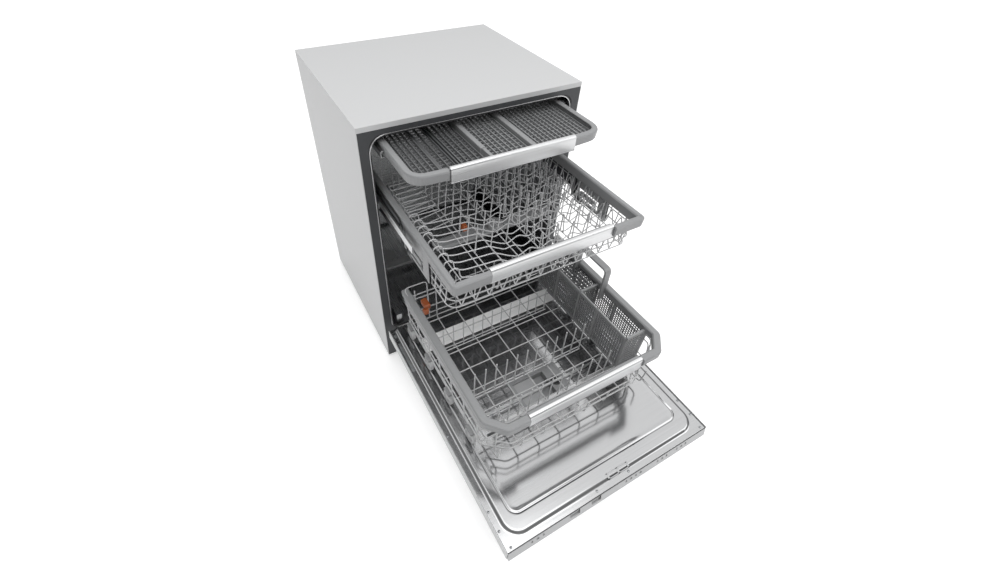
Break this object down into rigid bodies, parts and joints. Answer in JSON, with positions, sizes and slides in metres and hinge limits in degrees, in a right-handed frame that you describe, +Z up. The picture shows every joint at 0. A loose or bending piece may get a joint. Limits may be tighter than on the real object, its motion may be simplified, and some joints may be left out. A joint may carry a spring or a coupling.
{
  "type": "built in dishwasher",
  "caption": "Under-counter dishwasher with drop-down door, two sliding wire racks, a shallow cutlery tray, spray arms and a basket for cutlery.",
  "frame": {"origin": "middle of the footprint with the door open, on the floor", "axes": "+Z up, +Y from the door towards the back panel, +X towards the right side panel seen from the front"},
  "size_m": [0.598, 1.196, 0.785],
  "materials": {
    "casing_paint": "satin",
    "frame_charcoal": "satin",
    "stainless": "brushed",
    "zinc_steel": "satin",
    "seal_rubber": "matte",
    "black_plastic": "matte",
    "green_plastic": "satin",
    "light_plastic": "satin",
    "grey_plastic": "satin",
    "dark_mesh": "satin",
    "coated_wire": "satin"
  },
  "bodies": {
    "cabinet": {"top_panel": "casing_paint", "left_side_panel": "casing_paint", "right_side_panel": "casing_paint", "left_foot_runner": "black_plastic", "right_foot_runner": "black_plastic", "back_panel": "zinc_steel", "base_pan": "frame_charcoal", "toe_kick": "frame_charcoal", "front_frame": "frame_charcoal", "door_gasket": "seal_rubber", "tub_left_wall": "stainless", "tub_right_wall": "stainless", "tub_back_wall": "stainless", "tub_ceiling": "stainless", "tub_floor": "stainless", "sump_filter_plate": "dark_mesh", "circulation_pump": "black_plastic", "drain_pump": "green_plastic", "water_softener": "light_plastic"},
    "filter": {"filter_cylinder": "grey_plastic"},
    "lower_spray": {"lower_spray_arm": "grey_plastic"},
    "door": {"door_outer_panel": "casing_paint", "door_inner_liner": "stainless", "control_strip": "frame_charcoal", "door_latch": "black_plastic", "dispenser_body": "grey_plastic", "left_hinge_arm": "zinc_steel", "right_hinge_arm": "zinc_steel"},
    "button_1": {"button_1": "grey_plastic"},
    "button_2": {"button_2": "grey_plastic"},
    "dispenser_lid": {"dispenser_lid": "light_plastic"},
    "rinse_aid_cap": {"rinse_aid_cap": "black_plastic"},
    "third_rails": {"third_rack_left_rail": "stainless", "third_rack_right_rail": "stainless"},
    "third_rack": {"third_rack_frame": "coated_wire", "third_rack_tray": "dark_mesh", "third_rack_handle": "stainless"},
    "upper_rails": {"upper_rack_left_rail": "stainless", "upper_rack_right_rail": "stainless"},
    "upper_rack": {"upper_rack_floor_grid": "coated_wire", "upper_rack_left_side_grid": "coated_wire", "upper_rack_right_side_grid": "coated_wire", "upper_rack_back_grid": "coated_wire", "upper_rack_front_grid": "coated_wire", "upper_rack_handle": "stainless"},
    "upper_tines": {"upper_rack_tine_row": "coated_wire"},
    "cup_shelf": {"upper_rack_cup_shelf": "coated_wire"},
    "upper_spray": {"upper_spray_arm": "grey_plastic"},
    "rack_guide": {"rack_guide_rod": "stainless"},
    "rack_support": {"rack_support_bar": "stainless"},
    "lower_rack": {"lower_rack_floor_grid": "coated_wire", "lower_rack_left_side_grid": "coated_wire", "lower_rack_right_side_grid": "coated_wire", "lower_rack_back_grid": "coated_wire", "lower_rack_front_grid": "coated_wire", "lower_rack_handle": "stainless", "lower_rack_left_wheels": "grey_plastic", "lower_rack_right_wheels": "grey_plastic", "cutlery_basket": "dark_mesh"},
    "lower_tines": {"lower_rack_tine_row": "coated_wire"}
  },
  "joints": [
    {"name": "door_hinge", "type": "hinge", "parent": "cabinet", "child": "door", "pos_m": [0, 0.056, 0.126], "axis": [-1, 0, 0], "range_deg": [0, 90]},
    {"name": "third_rails_travel", "type": "slide", "parent": "cabinet", "child": "third_rails", "axis": [0, 1, 0], "range_m": [0, 0.192]},
    {"name": "third_rack_slide", "type": "slide", "parent": "third_rails", "child": "third_rack", "axis": [0, -1, 0], "range_m": [-0.192, 0]},
    {"name": "upper_rails_travel", "type": "slide", "parent": "cabinet", "child": "upper_rails", "axis": [0, 1, 0], "range_m": [0, 0.35]},
    {"name": "upper_rack_slide", "type": "slide", "parent": "upper_rails", "child": "upper_rack", "axis": [0, -1, 0], "range_m": [-0.35, 0]},
    {"name": "lower_rack_roll", "type": "slide", "parent": "door", "child": "rack_guide", "axis": [0, 1, 0], "range_m": [0, 0.266]},
    {"name": "lower_rack_level", "type": "hinge", "parent": "rack_guide", "child": "rack_support", "pos_m": [0, -0.351, 0.267], "axis": [1, 0, 0], "range_deg": [0, 90]},
    {"name": "lower_rack_slide", "type": "slide", "parent": "rack_support", "child": "lower_rack", "axis": [0, -1, 0], "range_m": [-0.548, 0]},
    {"name": "lower_spray_spin", "type": "hinge", "parent": "cabinet", "child": "lower_spray", "pos_m": [0, 0.34, 0.128], "axis": [0, 0, 1], "continuous": true},
    {"name": "upper_spray_spin", "type": "hinge", "parent": "upper_rack", "child": "upper_spray", "pos_m": [0, -0.008, 0.488], "axis": [0, 0, 1], "continuous": true},
    {"name": "filter_twist", "type": "hinge", "parent": "cabinet", "child": "filter", "pos_m": [0, 0.34, 0.098], "axis": [0, 0, 1], "range_deg": [0, 90]},
    {"name": "dispenser_lid_slide", "type": "slide", "parent": "door", "child": "dispenser_lid", "axis": [1, 0, 0], "range_m": [0, 0.033]},
    {"name": "rinse_aid_cap_turn", "type": "hinge", "parent": "door", "child": "rinse_aid_cap", "pos_m": [0.038, -0.307, 0.154], "axis": [0, 0, 1], "range_deg": [0, 90]},
    {"name": "button_1_press", "type": "slide", "parent": "door", "child": "button_1", "axis": [0, 1, 0], "range_m": [0, 0.0025], "stiffness_N_per_m": 400},
    {"name": "button_2_press", "type": "slide", "parent": "door", "child": "button_2", "axis": [0, 1, 0], "range_m": [0, 0.0025], "stiffness_N_per_m": 400},
    {"name": "upper_tines_fold", "type": "hinge", "parent": "upper_rack", "child": "upper_tines", "pos_m": [0, -0.01, 0.514], "axis": [-1, 0, 0], "range_deg": [0, 85]},
    {"name": "cup_shelf_fold", "type": "hinge", "parent": "upper_rack", "child": "cup_shelf", "pos_m": [-0.236, -0.01, 0.584], "axis": [0, -1, 0], "range_deg": [0, 80]},
    {"name": "lower_tines_fold", "type": "hinge", "parent": "lower_rack", "child": "lower_tines", "pos_m": [0, -0.27, 0.192], "axis": [1, 0, 0], "range_deg": [0, 85]}
  ],
  "couplings": [
    {"joint": "third_rails_travel", "follows": "door_hinge", "m_per_rad": 0.12223},
    {"joint": "upper_rails_travel", "follows": "door_hinge", "m_per_rad": 0.22282},
    {"joint": "lower_rack_roll", "follows": "door_hinge", "m_per_rad": 0.16934},
    {"joint": "lower_rack_level", "follows": "door_hinge", "ratio": 1}
  ]
}
